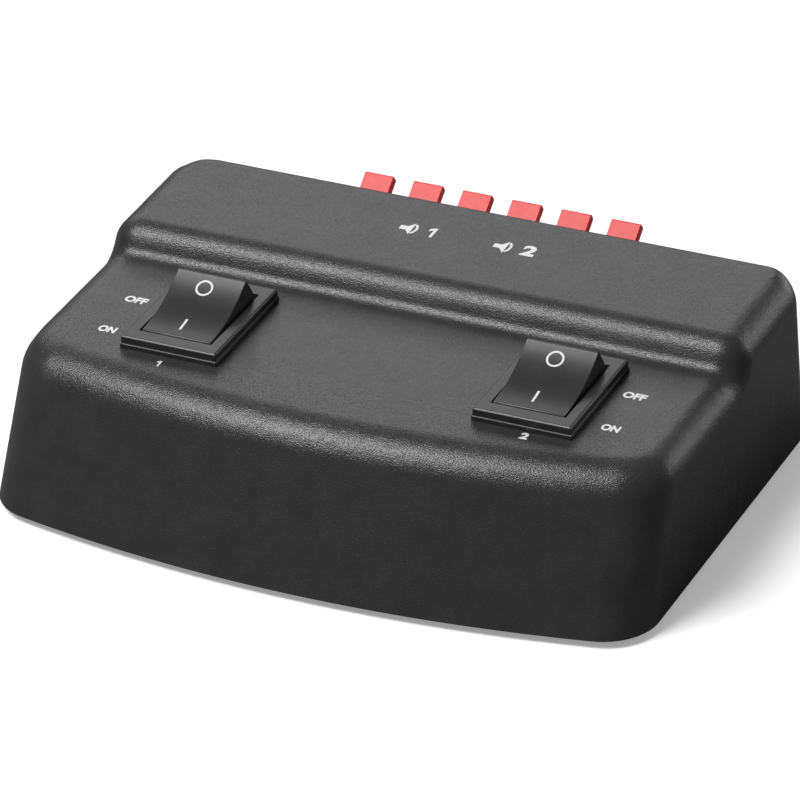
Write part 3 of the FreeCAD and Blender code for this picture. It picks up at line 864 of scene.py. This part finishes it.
@dataclass
class Studio:
    """White floor, soft lamps and the photograph's camera.

    Attributes:
        azimuth: Camera turn round the object, in degrees.
        elevation: Camera height angle, in degrees.
        roll: Camera roll, in degrees.
        distance: Camera distance from the aim point, in metres.
        focal_pixels: Focal length in pixels of the 800 pixel frame.
        frame_pixels: The frame's width in pixels.
        sensor: The sensor's width in millimetres.
        aim: The point at the frame's centre, in metres.
        side_step: How far the camera stands to the right of the aim point's line, in metres.
        clip: Nearest and farthest distance that the camera sees, in metres.
        floor_half: Half the floor's width, in metres.
        floor_grain: Width of the floor's faint patches, in metres.
        floor_bounce: How much light the floor throws back.
        floor_even: The share of it that the darkest patches throw back.
        floor_seen: The floor's colour as the camera sees it.
        floor_dull: The floor's roughness.
        floor_shine: How much the floor mirrors.
        floor_glow: What the camera's view of the floor gains, so that it is white.
        surround: Light from all round, where 1 is white.
        lit_point: Where the lamps point, in metres.
        lamps: The soft lamps.
    """

    azimuth: float = 24.9
    elevation: float = 29.81
    roll: float = -1.34
    distance: float = 0.93072
    focal_pixels: float = 6501.33
    frame_pixels: float = 800.0
    sensor: float = 36.0
    aim: Vector = field(default_factory=lambda: Vector((3.346, -7.408, 16.776)) * MM)
    side_step: float = 0.25 * MM
    clip: tuple[float, float] = (0.01, 20.0)
    floor_half: float = 3.0
    floor_grain: float = 30 * MM
    floor_bounce: float = 0.2
    floor_even: float = 0.95
    floor_seen: Colour = (0.95, 0.95, 0.95)
    floor_dull: float = 0.9
    floor_shine: float = 0.1
    floor_glow: float = 0.3
    surround: float = 0.12
    lit_point: tuple[float, float, float] = (0.0, 0.0, 0.02)
    lamps: tuple[Softbox, ...] = (
        Softbox("key_box", (-0.34, -0.33, 0.80), (0.42, 0.42), 14.0),
        Softbox("rear_box", (-0.32, 0.55, 0.35), (0.65, 0.32), 1.6),
        Softbox("rear_fill", (0.35, 0.75, 0.16), (0.6, 0.3), 2.2),
    )

    def camera(self) -> None:
        """Place the camera at the photograph's angle and lens."""
        turn, height, roll = (math.radians(value) for value in (self.azimuth, self.elevation, self.roll))
        outward = math.cos(height)
        back = Vector((math.sin(turn) * outward, -math.cos(turn) * outward, math.sin(height)))
        level = Vector((math.cos(turn), math.sin(turn), 0.0))
        upright = back.cross(level)
        across = level * math.cos(roll) + upright * math.sin(roll)
        up = upright * math.cos(roll) - level * math.sin(roll)
        data = bpy.data.cameras.new("photo_camera")
        data.sensor_width = self.sensor
        data.lens = self.sensor * self.focal_pixels / self.frame_pixels
        data.clip_start, data.clip_end = self.clip
        camera = bpy.data.objects.new("photo_camera", data)
        turned = Matrix((across, up, back)).transposed().to_4x4()
        eye = self.aim + across * self.side_step + back * self.distance
        camera.matrix_world = Matrix.Translation(eye) @ turned
        bpy.context.scene.collection.objects.link(camera)
        bpy.context.scene.camera = camera

    def lamp(self, lamp: Softbox) -> None:
        """Hang a soft lamp that points at the object."""
        data = bpy.data.lights.new(lamp.name, "AREA")
        data.shape = "RECTANGLE"
        data.size, data.size_y = lamp.size
        data.energy = lamp.radiance * math.pi * lamp.size[0] * lamp.size[1]
        hung = bpy.data.objects.new(lamp.name, data)
        hung.location = lamp.place
        aim = Vector(self.lit_point) - Vector(lamp.place)
        hung.rotation_euler = aim.to_track_quat("-Z", "Y").to_euler()
        bpy.context.scene.collection.objects.link(hung)

    def floor(self) -> None:
        """A pale floor that looks white with a soft shadow, and throws only a little light back."""
        shape = bmesh.new()
        bmesh.ops.create_grid(shape, x_segments=1, y_segments=1, size=self.floor_half)
        mesh = bpy.data.meshes.new("floor")
        shape.to_mesh(mesh)
        shape.free()
        graph = ShaderGraph("white_floor")
        seen = graph.tree.nodes.new("ShaderNodeLightPath").outputs["Is Camera Ray"]
        patches = graph.noise(self.floor_grain)
        grain = graph.span(patches, self.floor_bounce * self.floor_even, self.floor_bounce)
        graph.link(graph.blend(seen, grain, self.floor_seen), "Base Color")
        graph.set(Roughness=self.floor_dull, Specular_IOR_Level=self.floor_shine,
                  Emission_Color=(1, 1, 1, 1))
        graph.link(graph.maths("MULTIPLY", seen, self.floor_glow), "Emission Strength")
        mesh.materials.append(graph.material)
        floor = bpy.data.objects.new("floor", mesh)
        bpy.context.scene.collection.objects.link(floor)

    def world(self) -> None:
        """A dim plain surround that the camera sees as white."""
        world = bpy.data.worlds.new("studio")
        world.use_nodes = True
        nodes, links = world.node_tree.nodes, world.node_tree.links
        nodes.clear()
        around = nodes.new("ShaderNodeBackground")
        around.inputs["Strength"].default_value = self.surround
        seen = nodes.new("ShaderNodeBackground")
        for background in (around, seen):
            background.inputs["Color"].default_value = (1, 1, 1, 1)
        path = nodes.new("ShaderNodeLightPath")
        mix = nodes.new("ShaderNodeMixShader")
        output = nodes.new("ShaderNodeOutputWorld")
        links.new(path.outputs["Is Camera Ray"], mix.inputs[0])
        links.new(around.outputs[0], mix.inputs[1])
        links.new(seen.outputs[0], mix.inputs[2])
        links.new(mix.outputs[0], output.inputs[0])
        bpy.context.scene.world = world

    def build(self) -> None:
        """Set up the whole studio."""
        bpy.context.scene.view_settings.view_transform = "Standard"
        self.camera()
        self.floor()
        self.world()
        for lamp in self.lamps:
            self.lamp(lamp)


def main() -> None:
    """Build the studio and every piece in order."""
    Studio().build()
    workshop = Workshop()
    workshop.dress_nodes()
    lettering = Lettering(workshop)
    Case(workshop).build()
    for side, x in (("left", -SWITCH_X), ("right", SWITCH_X)):
        RockerSwitch(workshop, lettering, side, x).build()
    Levers(workshop).build()
    lettering.build()


if __name__ == "__main__":
    main()
